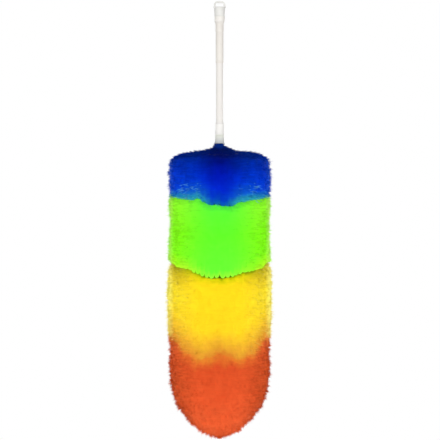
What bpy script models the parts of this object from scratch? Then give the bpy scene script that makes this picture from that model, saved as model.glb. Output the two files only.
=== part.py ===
"""A hand duster that hangs by the eye on its handle: a white plastic handle, and a round head
of soft fibre in four colours whose roots are caught in a twisted wire.

Metres, +Z up. The origin is the highest point inside the eye, where a hook carries the
duster. Its axis is the Z axis, and its front faces -Y. Each piece is modelled below its own
top and placed by its location.
"""

import math

import bmesh
import bpy
from mathutils import Vector

# Facets and fits
ROUND_SEGMENTS = 28
FIBRE_SEGMENTS = 36
FILLET_STEPS = 2
SEAT_GAP = 0.0003
PUSH_GAP = 0.00012
MERGE_DISTANCE = 0.000001

# Hanging eye, moulded on the end cap
EYE_HEIGHT = 0.0056
EYE_TOP_WIDTH = 0.0104
EYE_STRAP = 0.0023
EYE_DEPTH = 0.0046
EYE_CORNER_RADIUS = 0.0036
EYE_CORNER_STEPS = 5
EYE_EDGE = 0.0006
EYE_INSET = 0.0003
EYE_ROOT = 0.0008

# End cap, whose hollow spigot is pushed into the tube
FLANGE_RADIUS = 0.0085
FLANGE_THICKNESS = 0.0013
FLANGE_EDGE = 0.00045
CAP_RADIUS = 0.0075
CAP_DRAFT = 0.00015
CAP_LENGTH = 0.0113
CAP_EDGE = 0.0005
CAP_ROOF = 0.0032
CAP_SPIGOT_LENGTH = 0.013
CAP_SPIGOT_WALL = 0.0012
CAP_SPIGOT_CHAMFER = 0.0006

# Handle tube
TUBE_RADIUS = 0.00488
TUBE_WALL = 0.0009
TUBE_LENGTH = 0.1625

# Grip sleeve, pushed over the tube's upper end
SLEEVE_COLLAR_RADIUS = 0.00715
SLEEVE_COLLAR_LENGTH = 0.0068
SLEEVE_SHOULDER_LENGTH = 0.0036
SLEEVE_COLLAR_EDGE = 0.0008
SLEEVE_UPPER_WALL = 0.00072
SLEEVE_UPPER_LENGTH = 0.0108
SLEEVE_LOWER_WALL = 0.00037
SLEEVE_LOWER_LENGTH = 0.0386
SLEEVE_STEP_LENGTH = 0.0009
SLEEVE_GROOVE_DEPTH = 0.00012
SLEEVE_GROOVE_LENGTH = 0.0013
SLEEVE_BEAD_HEIGHT = 0.00022
SLEEVE_BEAD_LENGTH = 0.0022
SLEEVE_LIP_LENGTH = 0.0014
SLEEVE_BEAD_STEPS = 4

# Ferrule, which joins the tube to the head
FERRULE_LIP = 0.0003
FERRULE_CONE_LENGTH = 0.0068
FERRULE_RADIUS = 0.006
FERRULE_FLARE = 0.0001
FERRULE_LENGTH = 0.0188
FERRULE_SHOULDER_RADIUS = 0.003
FERRULE_EDGE = 0.0004
SOCKET_DEPTH = 0.015
SPIGOT_RADIUS = 0.0046
SPIGOT_LENGTH = 0.0072

# Neck collar, a flared translucent ring that closes over the fibre's roots
COLLAR_TOP_RADIUS = 0.0062
COLLAR_MOUTH_RADIUS = 0.00677
COLLAR_LENGTH = 0.0109
COLLAR_FLARE_START = 0.0045
COLLAR_LIP = 0.0008
COLLAR_EDGE = 0.0003
ROOT_DEPTH = 0.0034

# Wire, folded in half at the tip and twisted on the fibre
WIRE_RADIUS = 0.001
WIRE_TWIN_GAP = 0.00024
WIRE_CLEARANCE = 0.0003
WIRE_PITCH = 0.026
WIRE_POINTS_PER_TURN = 10
WIRE_BEVEL_RESOLUTION = 2
WIRE_LOOP_RADIUS = 0.0024
WIRE_LOOP_LENGTH = 0.008
WIRE_LOOP_STEPS = 8
WIRE_UNTWIST_LENGTH = 0.012
WIRE_GRIP_LENGTH = 0.029
WIRE_TIP_COVER = 0.0095

# Stem plug, which caps the wire's two ends inside the tube
PLUG_ROOF = 0.0035
PLUG_CHAMFER = 0.0006

# Fibre head, from the collar down
HEAD_RADIUS = 0.0725
CROWN_DROP = 0.0227
TIP_DROP = 0.076
BLUE_LENGTH = 0.0771
GREEN_LENGTH = 0.1005
YELLOW_LENGTH = 0.0934
ORANGE_LENGTH = 0.1402
BORDER_DROOP = 0.015
BLUE_DIP = 0.0126
GREEN_DIP = 0.0097
YELLOW_DIP = 0.024
BAND_STEPS = 7
ORANGE_STEPS = 14
BORDER_SHARES = (0.3, 0.6, 0.8)

# The head's outline, as (share of the drop or of the flank's length, share of HEAD_RADIUS)
CROWN_SHARES = ((0.03, 0.11), (0.2, 0.16), (0.38, 0.36), (0.51, 0.68), (0.6, 0.83), (0.8, 0.92), (1, 0.965))
FLANK_SHARES = (
    (0, 0.965),
    (0.07, 0.99),
    (0.125, 0.973),
    (0.18, 1),
    (0.27, 0.963),
    (0.375, 0.99),
    (0.46, 0.973),
    (0.555, 1.02),
    (0.75, 1),
    (0.855, 0.955),
    (0.93, 0.985),
    (1, 0.943),
)
TIP_SHARES = (
    (0, 0.943),
    (0.147, 0.924),
    (0.293, 0.885),
    (0.44, 0.8),
    (0.587, 0.67),
    (0.733, 0.545),
    (0.88, 0.34),
    (0.954, 0.18),
    (1, 0),
)

# Heights that follow from the lengths above
CAP_TOP = -EYE_HEIGHT
CAP_BOTTOM = CAP_TOP - FLANGE_THICKNESS - CAP_LENGTH
TUBE_TOP = CAP_BOTTOM - SEAT_GAP
TUBE_BOTTOM = TUBE_TOP - TUBE_LENGTH
FERRULE_TOP = TUBE_BOTTOM + SOCKET_DEPTH
COLLAR_TOP = FERRULE_TOP - FERRULE_LENGTH - SEAT_GAP
HEAD_TOP = COLLAR_TOP - COLLAR_LENGTH - SEAT_GAP
HEAD_LENGTH = BLUE_LENGTH + GREEN_LENGTH + YELLOW_LENGTH + ORANGE_LENGTH
HEAD_TIP = HEAD_TOP - HEAD_LENGTH
FLANK_LENGTH = HEAD_LENGTH - CROWN_DROP - TIP_DROP
WIRE_TOP = TUBE_BOTTOM + WIRE_GRIP_LENGTH
WIRE_TIP = HEAD_TIP + WIRE_TIP_COVER
PLUG_TOP = WIRE_TOP + SEAT_GAP + PLUG_ROOF

# Radii that follow from the fits
TUBE_BORE = TUBE_RADIUS - TUBE_WALL
TUBE_SOCKET = TUBE_RADIUS + PUSH_GAP
CAP_SPIGOT_RADIUS = TUBE_BORE - PUSH_GAP
COLLAR_BORE = SPIGOT_RADIUS + PUSH_GAP
TWIN_RADIUS = WIRE_RADIUS + WIRE_TWIN_GAP / 2
WIRE_BORE = TWIN_RADIUS + WIRE_RADIUS + WIRE_CLEARANCE
LOOP_BORE = WIRE_LOOP_RADIUS + WIRE_RADIUS + WIRE_CLEARANCE


def clear_scene():
    for thing in list(bpy.data.objects):
        bpy.data.objects.remove(thing, do_unlink=True)


def finish(name, colour, roughness, metallic=0):
    """A material with one plain finish, its colour in linear light."""
    material = bpy.data.materials.new(name)
    material.use_nodes = True
    shader = material.node_tree.nodes["Principled BSDF"]
    shader.inputs["Base Color"].default_value = (*colour, 1)
    shader.inputs["Roughness"].default_value = roughness
    shader.inputs["Metallic"].default_value = metallic
    return material


def filleted(corners, steps=FILLET_STEPS):
    """The closed outline with each corner that names a radius turned into an arc of it."""
    outline = []
    for index, (across, up, *radius) in enumerate(corners):
        corner = Vector((across, up))
        if not radius:
            outline.append(corner)
            continue
        before = Vector(corners[index - 1][:2]) - corner
        after = Vector(corners[(index + 1) % len(corners)][:2]) - corner
        half = before.angle(after) / 2
        reach = min(radius[0] / math.tan(half), before.length / 2, after.length / 2)
        before.normalize()
        after.normalize()
        centre = corner + (before + after).normalized() * (reach / math.cos(half))
        arm = corner + before * reach - centre
        start = arm.normalized()
        end = (corner + after * reach - centre).normalized()
        for step in range(steps + 1):
            outline.append(centre + start.slerp(end, step / steps) * arm.length)
    return outline


def add_object(name, mesh, material, top=0.0):
    data = bpy.data.meshes.new(name)
    bmesh.ops.recalc_face_normals(mesh, faces=mesh.faces)
    mesh.to_mesh(data)
    mesh.free()
    data.shade_smooth()
    data.set_sharp_from_angle(angle=math.radians(35))
    data.materials.append(material)
    thing = bpy.data.objects.new(name, data)
    thing.location.z = top
    bpy.context.collection.objects.link(thing)
    return thing


def turned(name, corners, material, top=0.0):
    """A solid turned about Z from (radius, height) corners. Corners on the axis close it there."""
    mesh = bmesh.new()
    outline = filleted(corners)
    points = [mesh.verts.new((across, 0, up)) for across, up in outline]
    edges = [mesh.edges.new(pair) for pair in zip(points, points[1:])]
    if outline[0].x > 0:
        edges.append(mesh.edges.new((points[-1], points[0])))
    bmesh.ops.spin(
        mesh,
        geom=points + edges,
        cent=(0, 0, 0),
        axis=(0, 0, 1),
        angle=math.tau,
        steps=ROUND_SEGMENTS,
        use_merge=True,
    )
    bmesh.ops.remove_doubles(mesh, verts=mesh.verts, dist=MERGE_DISTANCE)
    return add_object(name, mesh, material, top)


def bridge(mesh, inner, outer):
    """Triangles between two rings. A ring of one point is a pole. The diagonals run the same
    way on both sides of a gap, so that two neighbouring surfaces stay apart."""
    count = max(len(inner), len(outer))
    for index in range(count):
        after = (index + 1) % count
        if len(inner) > 1:
            mesh.faces.new((inner[index], outer[after % len(outer)], inner[after]))
        if len(outer) > 1:
            mesh.faces.new((inner[index % len(inner)], outer[index], outer[after]))


def eye_strap(material):
    """The arch over the cap: a strap with chamfered edges, swept up one leg, over and down."""
    foot = FLANGE_RADIUS - EYE_STRAP / 2 - EYE_INSET
    shoulder = (EYE_TOP_WIDTH + EYE_STRAP) / 2
    crest = EYE_STRAP / 2
    root = CAP_TOP - EYE_ROOT
    path = filleted(
        (
            (-foot, root),
            (-shoulder, crest, EYE_CORNER_RADIUS),
            (shoulder, crest, EYE_CORNER_RADIUS),
            (foot, root),
        ),
        EYE_CORNER_STEPS,
    )
    wide, deep = EYE_STRAP / 2, EYE_DEPTH / 2
    section = (
        (wide, deep - EYE_EDGE),
        (wide - EYE_EDGE, deep),
        (EYE_EDGE - wide, deep),
        (-wide, deep - EYE_EDGE),
        (-wide, EYE_EDGE - deep),
        (EYE_EDGE - wide, -deep),
        (wide - EYE_EDGE, -deep),
        (wide, EYE_EDGE - deep),
    )
    mesh = bmesh.new()
    legs = [(after - before).normalized() for before, after in zip(path, path[1:])]
    rings = []
    for index, point in enumerate(path):
        # At each bend the section lies in the mitre plane, widened so the strap keeps its size
        into = legs[max(index - 1, 0)]
        along = (into + legs[min(index, len(legs) - 1)]).normalized()
        side = Vector((along.y, -along.x)) / along.dot(into)
        rings.append(
            [
                mesh.verts.new((point.x + side.x * across, back, point.y + side.y * across))
                for across, back in section
            ]
        )
    for inner, outer in zip(rings, rings[1:]):
        bridge(mesh, inner, outer)
    mesh.faces.new(rings[0])
    mesh.faces.new(rings[-1])
    strap = add_object("eye_strap_helper", mesh, material)
    strap.hide_render = True
    strap.display_type = "WIRE"
    return strap


def make_end_cap(material):
    skirt = -FLANGE_THICKNESS
    seat = skirt - CAP_LENGTH
    end = seat - CAP_SPIGOT_LENGTH
    core = CAP_SPIGOT_RADIUS - CAP_SPIGOT_WALL
    cap = turned(
        "end_cap",
        (
            (0, 0),
            (FLANGE_RADIUS, 0, FLANGE_EDGE),
            (FLANGE_RADIUS, skirt, FLANGE_EDGE),
            (CAP_RADIUS, skirt),
            (CAP_RADIUS - CAP_DRAFT, seat, CAP_EDGE),
            (CAP_SPIGOT_RADIUS, seat),
            (CAP_SPIGOT_RADIUS, end + CAP_SPIGOT_CHAMFER),
            (CAP_SPIGOT_RADIUS - CAP_SPIGOT_CHAMFER, end),
            (core, end),
            (core, -CAP_ROOF),
            (0, -CAP_ROOF),
        ),
        material,
        CAP_TOP,
    )
    union = cap.modifiers.new("eye", "BOOLEAN")
    union.operation = "UNION"
    union.solver = "EXACT"
    union.object = eye_strap(material)
    return cap


def make_grip_sleeve(material):
    """A moulded sleeve: a collar under the cap, two thicknesses, and a grooved, beaded lip."""
    upper = TUBE_SOCKET + SLEEVE_UPPER_WALL
    lower = TUBE_SOCKET + SLEEVE_LOWER_WALL
    collar_end = -SLEEVE_COLLAR_LENGTH
    shoulder_end = collar_end - SLEEVE_SHOULDER_LENGTH
    upper_end = shoulder_end - SLEEVE_UPPER_LENGTH
    groove = upper_end - SLEEVE_STEP_LENGTH - SLEEVE_LOWER_LENGTH
    bead_top = groove - SLEEVE_GROOVE_LENGTH
    bead_end = bead_top - SLEEVE_BEAD_LENGTH
    lip = bead_end - SLEEVE_LIP_LENGTH
    bead = [
        (
            lower + SLEEVE_BEAD_HEIGHT * math.sin(math.pi * step / SLEEVE_BEAD_STEPS),
            bead_top - SLEEVE_BEAD_LENGTH * step / SLEEVE_BEAD_STEPS,
        )
        for step in range(SLEEVE_BEAD_STEPS + 1)
    ]
    return turned(
        "grip_sleeve",
        (
            (SLEEVE_COLLAR_RADIUS, 0, SLEEVE_COLLAR_EDGE / 2),
            (SLEEVE_COLLAR_RADIUS, collar_end, SLEEVE_COLLAR_EDGE),
            (upper, shoulder_end, SLEEVE_COLLAR_EDGE),
            (upper, upper_end),
            (lower, upper_end - SLEEVE_STEP_LENGTH),
            (lower, groove),
            (lower - SLEEVE_GROOVE_DEPTH, groove - SLEEVE_GROOVE_LENGTH / 2),
            *bead,
            (lower - SLEEVE_GROOVE_DEPTH, lip),
            (TUBE_SOCKET, lip),
            (TUBE_SOCKET, 0),
        ),
        material,
        TUBE_TOP,
    )


def make_handle_tube(material):
    return turned(
        "handle_tube",
        (
            (TUBE_RADIUS, 0),
            (TUBE_RADIUS, -TUBE_LENGTH),
            (TUBE_BORE, -TUBE_LENGTH),
            (TUBE_BORE, 0),
        ),
        material,
        TUBE_TOP,
    )


def make_ferrule(material):
    """A socket for the tube, a web that the wire passes through, and a spigot for the collar."""
    floor = -SOCKET_DEPTH - SEAT_GAP
    spigot_end = -FERRULE_LENGTH - SPIGOT_LENGTH
    return turned(
        "ferrule",
        (
            (TUBE_SOCKET + FERRULE_LIP, 0),
            (FERRULE_RADIUS, -FERRULE_CONE_LENGTH, FERRULE_SHOULDER_RADIUS),
            (FERRULE_RADIUS + FERRULE_FLARE, -FERRULE_LENGTH, FERRULE_EDGE),
            (SPIGOT_RADIUS, -FERRULE_LENGTH),
            (SPIGOT_RADIUS, spigot_end, FERRULE_EDGE),
            (WIRE_BORE, spigot_end),
            (WIRE_BORE, floor),
            (TUBE_SOCKET, floor),
            (TUBE_SOCKET, 0),
        ),
        material,
        FERRULE_TOP,
    )


def make_neck_collar(material):
    mouth = -COLLAR_LENGTH
    return turned(
        "neck_collar",
        (
            (COLLAR_TOP_RADIUS, 0, COLLAR_EDGE),
            (COLLAR_TOP_RADIUS, -COLLAR_FLARE_START, FERRULE_SHOULDER_RADIUS),
            (COLLAR_MOUTH_RADIUS, mouth),
            (COLLAR_MOUTH_RADIUS - COLLAR_LIP, mouth),
            (COLLAR_BORE, mouth + ROOT_DEPTH),
            (COLLAR_BORE, 0),
        ),
        material,
        COLLAR_TOP,
    )


def make_stem_plug(material):
    end = TUBE_BOTTOM - PLUG_TOP
    radius = TUBE_BORE - PUSH_GAP
    return turned(
        "stem_plug",
        (
            (0, 0),
            (radius - PLUG_CHAMFER, 0),
            (radius, -PLUG_CHAMFER),
            (radius, end),
            (WIRE_BORE, end),
            (WIRE_BORE, -PLUG_ROOF),
            (0, -PLUG_ROOF),
        ),
        material,
        PLUG_TOP,
    )


def twist_at(above_loop):
    """How far the pair has turned at a height above its loop: the twist eases in, then runs
    at one turn for each pitch."""
    eased = min(above_loop, WIRE_UNTWIST_LENGTH)
    steady = above_loop - eased
    return math.tau / WIRE_PITCH * (eased**2 / (2 * WIRE_UNTWIST_LENGTH) + steady)


def strand(side):
    """One half of the wire, from its free end in the plug down to the foot of the loop."""
    loop_top = WIRE_TIP + WIRE_RADIUS + WIRE_LOOP_RADIUS + WIRE_LOOP_LENGTH
    run = WIRE_TOP - loop_top
    steps = round(run / WIRE_PITCH * WIRE_POINTS_PER_TURN)
    points = []
    for step in range(steps + 1):
        above = run * (1 - step / steps)
        turn = twist_at(above)
        across = side * TWIN_RADIUS
        points.append(Vector((across * math.cos(turn), across * math.sin(turn), loop_top + above)))
    for step in range(1, WIRE_LOOP_STEPS // 2):
        share = step / (WIRE_LOOP_STEPS // 2)
        spread = TWIN_RADIUS + (WIRE_LOOP_RADIUS - TWIN_RADIUS) * share**2 * (3 - 2 * share)
        points.append(Vector((side * spread, 0, loop_top - WIRE_LOOP_LENGTH * share)))
    return points


def make_wire_stem(material):
    """One length of wire: down one strand, round the loop at the tip, and back up the other."""
    centre = WIRE_TIP + WIRE_RADIUS + WIRE_LOOP_RADIUS
    loop = [
        Vector(
            (
                WIRE_LOOP_RADIUS * math.cos(math.pi * step / WIRE_LOOP_STEPS),
                0,
                centre - WIRE_LOOP_RADIUS * math.sin(math.pi * step / WIRE_LOOP_STEPS),
            )
        )
        for step in range(WIRE_LOOP_STEPS + 1)
    ]
    path = strand(1) + loop + strand(-1)[::-1]
    curve = bpy.data.curves.new("wire_stem", "CURVE")
    curve.dimensions = "3D"
    curve.bevel_depth = WIRE_RADIUS
    curve.bevel_resolution = WIRE_BEVEL_RESOLUTION
    curve.use_fill_caps = True
    spline = curve.splines.new("POLY")
    spline.points.add(len(path) - 1)
    for point, place in zip(spline.points, path):
        point.co = place.to_4d()
    spline.use_smooth = True
    curve.materials.append(material)
    wire = bpy.data.objects.new("wire_stem", curve)
    bpy.context.collection.objects.link(wire)
    return wire


def read_shares(table, share):
    """The second column of a table of shares, read at a share in its first column."""
    for (low, first), (high, last) in zip(table, table[1:]):
        if share <= high:
            return first + (last - first) * (share - low) / (high - low)
    return table[-1][1]


def head_radius(down):
    """The head's radius at a distance below its top."""
    if down < CROWN_DROP:
        return HEAD_RADIUS * read_shares(CROWN_SHARES, down / CROWN_DROP)
    if down < CROWN_DROP + FLANK_LENGTH:
        return HEAD_RADIUS * read_shares(FLANK_SHARES, (down - CROWN_DROP) / FLANK_LENGTH)
    share = (down - CROWN_DROP - FLANK_LENGTH) / TIP_DROP
    return HEAD_RADIUS * read_shares(TIP_SHARES, share)


def border_down(border, share, angle):
    """How far below the head's top a colour border lies. The fibre hangs lower as it runs out
    from the wire, and lowest at the front and the back."""
    side, dip = border
    return side - BORDER_DROOP * (1 - share**2) + dip * share**2 * math.sin(angle) ** 2


def ring(mesh, place):
    """A ring of points, each at the (radius, down) that place gives for its angle."""
    points = []
    for index in range(FIBRE_SEGMENTS):
        angle = math.tau * index / FIBRE_SEGMENTS
        radius, down = place(angle)
        points.append(mesh.verts.new((radius * math.cos(angle), radius * math.sin(angle), -down)))
    return points


def border_rings(mesh, border, gap, bore):
    """The rings of a border surface from the bore outwards, with gap below the border."""

    def place(share, angle):
        rim = head_radius(border_down(border, 1, angle))
        return max(share * rim, bore), border_down(border, share, angle) + gap

    return [
        ring(mesh, lambda angle, share=share: place(share, angle))
        for share in (bore / HEAD_RADIUS, *BORDER_SHARES, 1)
    ]


def wall_rings(mesh, above, below, gap, steps):
    """The rings of a band's outer wall between two borders, without the borders' own rings."""

    def place(share, angle):
        high = border_down(above, 1, angle) + gap
        down = high + (border_down(below, 1, angle) - high) * share
        return head_radius(down), down

    return [
        ring(mesh, lambda angle, share=step / steps: place(share, angle))
        for step in range(1, steps)
    ]


def join_rings(mesh, rings):
    for inner, outer in zip(rings, rings[1:]):
        bridge(mesh, inner, outer)


def make_crown_band(name, below, material):
    """The top band: its roots fill the collar's mouth, and its crown spreads out below it."""
    mesh = bmesh.new()
    root = ROOT_DEPTH - SEAT_GAP
    root_radius = COLLAR_BORE - SEAT_GAP
    mouth_radius = COLLAR_MOUTH_RADIUS - COLLAR_LIP - SEAT_GAP
    crown = [
        ring(mesh, lambda angle: (WIRE_BORE, -root)),
        ring(mesh, lambda angle: (root_radius, -root)),
        ring(mesh, lambda angle: (mouth_radius, 0)),
        ring(mesh, lambda angle: (COLLAR_MOUTH_RADIUS, 0)),
    ]
    for share, _ in CROWN_SHARES:
        down = CROWN_DROP * share
        crown.append(ring(mesh, lambda angle, down=down: (head_radius(down), down)))
    start = (CROWN_DROP, 0)
    wall = wall_rings(mesh, start, below, 0, BAND_STEPS)
    floor = border_rings(mesh, below, 0, WIRE_BORE)
    join_rings(mesh, crown + wall + [floor[-1]])
    join_rings(mesh, floor)
    bridge(mesh, crown[0], floor[0])
    return add_object(name, mesh, material, HEAD_TOP)


def make_middle_band(name, above, below, material):
    mesh = bmesh.new()
    ceiling = border_rings(mesh, above, SEAT_GAP, WIRE_BORE)
    wall = wall_rings(mesh, above, below, SEAT_GAP, BAND_STEPS)
    floor = border_rings(mesh, below, 0, WIRE_BORE)
    join_rings(mesh, ceiling)
    join_rings(mesh, [ceiling[-1], *wall, floor[-1]])
    join_rings(mesh, floor)
    bridge(mesh, ceiling[0], floor[0])
    return add_object(name, mesh, material, HEAD_TOP)


def make_tip_band(name, above, material):
    """The last band: it closes over the wire's loop and ends in the head's blunt point."""
    mesh = bmesh.new()
    end = (HEAD_LENGTH, 0)
    hollow = HEAD_TOP - WIRE_TIP + WIRE_CLEARANCE
    ceiling = border_rings(mesh, above, SEAT_GAP, LOOP_BORE)
    wall = wall_rings(mesh, above, end, SEAT_GAP, ORANGE_STEPS)
    tip = [mesh.verts.new((0, 0, -HEAD_LENGTH))]
    bore_end = ring(mesh, lambda angle: (LOOP_BORE, hollow))
    bore_pole = [mesh.verts.new((0, 0, -hollow))]
    join_rings(mesh, ceiling)
    join_rings(mesh, [ceiling[-1], *wall, tip])
    join_rings(mesh, [ceiling[0], bore_end, bore_pole])
    return add_object(name, mesh, material, HEAD_TOP)


def make_head():
    blue_end = (BLUE_LENGTH, BLUE_DIP)
    green_end = (BLUE_LENGTH + GREEN_LENGTH, GREEN_DIP)
    yellow_end = (BLUE_LENGTH + GREEN_LENGTH + YELLOW_LENGTH, YELLOW_DIP)
    blue = finish("blue_fibre", (0.002, 0.011, 0.45), 0.8)
    green = finish("green_fibre", (0.15, 0.97, 0.04), 0.8)
    yellow = finish("yellow_fibre", (0.98, 0.72, 0.012), 0.8)
    orange = finish("orange_fibre", (0.76, 0.074, 0.015), 0.8)
    return [
        make_crown_band("blue_fibre", blue_end, blue),
        make_middle_band("green_fibre", blue_end, green_end, green),
        make_middle_band("yellow_fibre", green_end, yellow_end, yellow),
        make_tip_band("orange_fibre", yellow_end, orange),
    ]


def make_handle():
    cap_plastic = finish("cap_plastic", (0.84, 0.84, 0.82), 0.35)
    sleeve_plastic = finish("sleeve_plastic", (0.9, 0.87, 0.84), 0.4)
    tube_plastic = finish("tube_plastic", (0.9, 0.87, 0.83), 0.3)
    ferrule_plastic = finish("ferrule_plastic", (0.93, 0.92, 0.9), 0.35)
    collar_plastic = finish("collar_plastic", (0.7, 0.71, 0.72), 0.4)
    plug_plastic = finish("plug_plastic", (0.8, 0.8, 0.78), 0.5)
    galvanised_wire = finish("galvanised_wire", (0.6, 0.61, 0.62), 0.35, 1)
    return [
        make_end_cap(cap_plastic),
        make_grip_sleeve(sleeve_plastic),
        make_handle_tube(tube_plastic),
        make_ferrule(ferrule_plastic),
        make_neck_collar(collar_plastic),
        make_stem_plug(plug_plastic),
        make_wire_stem(galvanised_wire),
    ]


def main():
    clear_scene()
    duster = bpy.data.objects.new("hand_duster", None)
    bpy.context.collection.objects.link(duster)
    for piece in make_handle() + make_head():
        piece.parent = duster


main()
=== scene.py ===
"""Looks of a hanging hand duster: a white plastic handle with an eye moulded on its cap, and a
round head of crimped fibre in blue, green, yellow and orange bands.

Metres, +Z up. The origin is the highest point inside the eye, where a hook carries the duster,
and its front faces -Y.
"""

from functools import partial
from math import copysign, cos, pi, radians, sin, tan, tau

import bmesh
import bpy
import numpy as np
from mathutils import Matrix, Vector, noise
from mathutils.bvhtree import BVHTree


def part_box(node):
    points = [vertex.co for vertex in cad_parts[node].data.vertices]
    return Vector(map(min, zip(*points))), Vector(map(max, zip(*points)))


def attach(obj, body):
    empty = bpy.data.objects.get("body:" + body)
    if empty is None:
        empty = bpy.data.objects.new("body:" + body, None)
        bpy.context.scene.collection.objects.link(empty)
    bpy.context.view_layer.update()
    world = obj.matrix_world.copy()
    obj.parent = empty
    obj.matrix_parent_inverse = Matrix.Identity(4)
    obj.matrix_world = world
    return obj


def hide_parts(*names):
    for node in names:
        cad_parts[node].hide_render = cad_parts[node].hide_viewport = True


MM = 0.001

# Camera, level with the middle of the duster and far enough off to flatten it
CAMERA_DISTANCE = 3.0
CAMERA_SENSOR = 36.0
FRAME_HEIGHT = 613.8 * MM
FRAME_MIDDLE = -302.7 * MM
FRAME_SHIFT = 0.6 * MM

# Floor, below the picture's lower edge
FLOOR_HEIGHT = -1.3
FLOOR_HALF = 5.0

# Lamps, in metres and watts. Of each pair the left one stands higher
LAMP_ASIDE = 0.45
LAMP_AWAY = 2.8
LAMP_HEIGHT = 0.1
LAMP_STAGGER = 0.2
LAMP_SIZE = 1.2
FRONT_POWER = 27
BACK_POWER = 25
SPOT_ASIDE = 1.5
SPOT_BEFORE = 0.4
SPOT_POWER = 44
SPOT = {"spot_size": radians(17), "spot_blend": 0.4, "shadow_soft_size": 0.2}
WORLD_STRENGTH = 0.35

# Turned pieces of the handle
ROUND_SEGMENTS = 96
FILLET_STEPS = 5
SHARP_ANGLE = radians(35)
MERGE_DISTANCE = 0.001 * MM
SEAT_GAP = 0.3 * MM
PUSH_GAP = 0.12 * MM

# Hanging eye
EYE_TOP_WIDTH = 10.4 * MM
EYE_STRAP = 2.3 * MM
EYE_DEPTH = 4.6 * MM
EYE_CORNER = 3.6 * MM
EYE_INSET = 0.3 * MM
EYE_ROOT = 0.8 * MM
EYE_FOOT_HEIGHT = 1.6 * MM
EYE_FOOT_FLARE = 0.45 * MM
EYE_STEPS = 44
SECTION_STEPS = 32
SECTION_POWER = 0.45

# End cap
FLANGE_TOP = -5.6 * MM
FLANGE_THICKNESS = 1.3 * MM
FLANGE_EDGE = 0.45 * MM
CAP_RADIUS = 7.5 * MM
CAP_DRAFT = 0.15 * MM
CAP_LENGTH = 11.48 * MM
CAP_EDGE = 0.15 * MM
CAP_ROOF = 3.2 * MM
CAP_SPIGOT_WALL = 1.2 * MM
CAP_SPIGOT_CHAMFER = 0.6 * MM

# Handle tube
TUBE_WALL = 0.9 * MM
TUBE_EDGE = 0.15 * MM

# Grip sleeve, from the top down
GRIP_COLLAR_LENGTH = 6.8 * MM
SHOULDER_LENGTH = 3.6 * MM
GRIP_EDGE = 0.8 * MM
UPPER_WALL = 0.72 * MM
UPPER_LENGTH = 10.8 * MM
LOWER_WALL = 0.37 * MM
LOWER_LENGTH = 38.6 * MM
STEP_LENGTH = 0.9 * MM
STEP_EDGE = 0.3 * MM
GROOVE_DEPTH = 0.12 * MM
GROOVE_LENGTH = 1.3 * MM
BEAD_HEIGHT = 0.22 * MM
BEAD_LENGTH = 2.2 * MM
BEAD_STEPS = 10

# Ferrule
FERRULE_LIP = 0.3 * MM
CONE_LENGTH = 6.8 * MM
FERRULE_RADIUS = 6.0 * MM
FERRULE_LENGTH = 18.8 * MM
FERRULE_SHOULDER = 3.0 * MM
FERRULE_EDGE = 0.4 * MM
SOCKET_DEPTH = 15 * MM
SPIGOT_RADIUS = 4.6 * MM
WIRE_BORE = 2.42 * MM
# Heights where the ferrule's painted light and shade change: once above its foot, painted with the
# head's coloured glow and shade, and three times below its mouth, painted with the tube's shadow
FERRULE_PAINTED_LIGHT_AND_SHADE = (2.5 * MM, 3.6 * MM, 2.2 * MM, 0.9 * MM)

# Neck collar
COLLAR_TOP_RADIUS = 6.2 * MM
COLLAR_FLARE_START = 4.5 * MM
COLLAR_LIP = 0.8 * MM
COLLAR_EDGE = 0.3 * MM
ROOT_DEPTH = 3.4 * MM

# White polypropylene. The lines that a die draws lie closer than 0.1 mm, too fine to show, so
# they are drawn coarser, and so is the grain of the moulded pieces
PLASTIC = {"IOR": 1.49, "Specular IOR Level": 0.06}
CLOUD_SIZE = 9 * MM
GRAIN_SIZE = 0.5 * MM
DRAWN_LINE = 0.7 * MM
DRAWN_STRETCH = 0.02
# The middle of a noise, which it seldom leaves
NOISE_SPAN = (0.3, 0.7)

# Galvanised wire, whose zinc crystals have a guessed size
SPANGLE_SIZE = 1.2 * MM

# Dyed fibre
FIBRE_SHADER = {"Roughness": 0.6, "IOR": 1.45, "Specular IOR Level": 0.05, "Diffuse Roughness": 1}
DYE_CLOUD = 14 * MM
DYE_DRIFT = 0.03
STREAK_SIZE = (16 * MM, 16 * MM, 2.2 * MM)
# From what to what it runs, and which change of shade that gives
STREAK_SPAN = (0.38, 0.62, -1, 0.3)
# Painted shade towards the roots: from what to what share along a strand it runs, and the shade it
# paints
ROOT_SHADE = (0.3, 0.9, 0.88, 1)
STRAND_SHADE = (0.92, 1.04)
LEAST_STREAKS = 0.03
# Where along a strand its end takes painted light
PAINTED_END_SPAN = (0.5, 0.9)
# How much of a strand's shading is that of the pile as a whole
PILE_SHADING = 0.3

# Fibre head
HEAD_RADIUS = 72.5 * MM
HEAD_MIDDLE = -415 * MM
ANGLE_STEPS = 360
OUTLINE_STEPS = 300
OUTLINE_EASINGS = 12
OFF_SEAM = 0.1 * MM
CORE_INSET = 2.4 * MM
CORE_INSET_SHARE = 0.3
CORE_BORE = 3 * MM
CORE_GAP = 0.5 * MM
# (size, height in millimetres)
LUMPS = ((22 * MM, 1.6), (9 * MM, 0.9))
LUMPS_FROM_AXIS = (8 * MM, 30 * MM)
# In millimetres, like the tables of the colour edges
FADE_LENGTH = 60

# Over which part of a band, from 0 at its upper edge to 1 at its lower, something comes or goes
UPPER_SWELL = (0, 0.12)
LOWER_SWELL = (0.82, 0.97)
HEM_DROOP = (0.86, 1)
TIP_SWELL = (0.8, 0.95)
TIP_SWELL_FROM_AXIS = (1 * MM, 12 * MM)

# The head's roof: how level the surface is where the fibre starts to lie along it
ROOF = (0.25, 0.8)
ROOF_LOWERED = (0.3, 0.85)
ROOF_LOWERED_FROM_AXIS = (5 * MM, 13 * MM)
ROOF_DROP = 1.8 * MM
ROOF_LAID = 0.6
ROOF_ALONG = 0.8

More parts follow.
